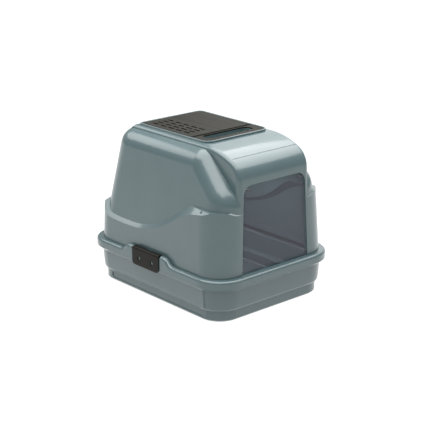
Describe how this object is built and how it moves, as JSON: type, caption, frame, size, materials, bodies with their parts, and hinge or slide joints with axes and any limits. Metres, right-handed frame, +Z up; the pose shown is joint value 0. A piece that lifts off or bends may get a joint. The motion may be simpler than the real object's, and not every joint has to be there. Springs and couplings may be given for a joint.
{
  "type": "cat litter box with hood",
  "caption": "Hooded cat litter box: an open tray with side clips, a lift-off hood with a swing door, a hinged filter cover and a folding carry handle.",
  "frame": {"origin": "bottom centre of the whole box, on the surface it stands on", "axes": "+Z up, the door faces -Y, the length runs along Y and the width along X"},
  "size_m": [0.4, 0.5, 0.3999],
  "materials": {
    "shell_plastic": "satin",
    "dark_plastic": "finely brushed",
    "clip_plastic": "satin",
    "smoked_plastic": "clear, smoked",
    "pin_plastic": "smooth",
    "filter_felt": "felt"
  },
  "bodies": {
    "tray_base": {"tray": "shell_plastic"},
    "hood_shell": {"hood": "shell_plastic", "carbon_filter": "filter_felt"},
    "swing_door": {"door_flap": "smoked_plastic", "door_pin_left": "pin_plastic", "door_pin_right": "pin_plastic"},
    "top_cover": {"filter_cover": "dark_plastic", "filter_cover_pin_left": "pin_plastic", "filter_cover_pin_right": "pin_plastic"},
    "top_handle": {"carry_handle": "dark_plastic", "carry_handle_pin_left": "pin_plastic", "carry_handle_pin_right": "pin_plastic"},
    "left_clip": {"clip_left": "clip_plastic", "clip_pin_left": "pin_plastic"},
    "right_clip": {"clip_right": "clip_plastic", "clip_pin_right": "pin_plastic"}
  },
  "joints": [
    {"name": "hood_lift", "type": "slide", "parent": "tray_base", "child": "hood_shell", "axis": [0, 0, 1], "range_m": [0, 0.25]},
    {"name": "door_swing", "type": "hinge", "parent": "hood_shell", "child": "swing_door", "pos_m": [0, -0.22396, 0.308], "axis": [1, 0, 0], "range_deg": [-68, 68]},
    {"name": "cover_open", "type": "hinge", "parent": "hood_shell", "child": "top_cover", "pos_m": [0, 0.1437, 0.3976], "axis": [-1, 0, 0], "range_deg": [0, 90]},
    {"name": "handle_raise", "type": "hinge", "parent": "hood_shell", "child": "top_handle", "pos_m": [0, -0.0463, 0.397], "axis": [-1, 0, 0], "range_deg": [0, 90]},
    {"name": "left_clip_open", "type": "hinge", "parent": "hood_shell", "child": "left_clip", "pos_m": [-0.1895, 0.0093, 0.1214], "axis": [0, 1, 0], "range_deg": [0, 95]},
    {"name": "right_clip_open", "type": "hinge", "parent": "hood_shell", "child": "right_clip", "pos_m": [0.1895, 0.0093, 0.1214], "axis": [0, -1, 0], "range_deg": [0, 95]}
  ]
}
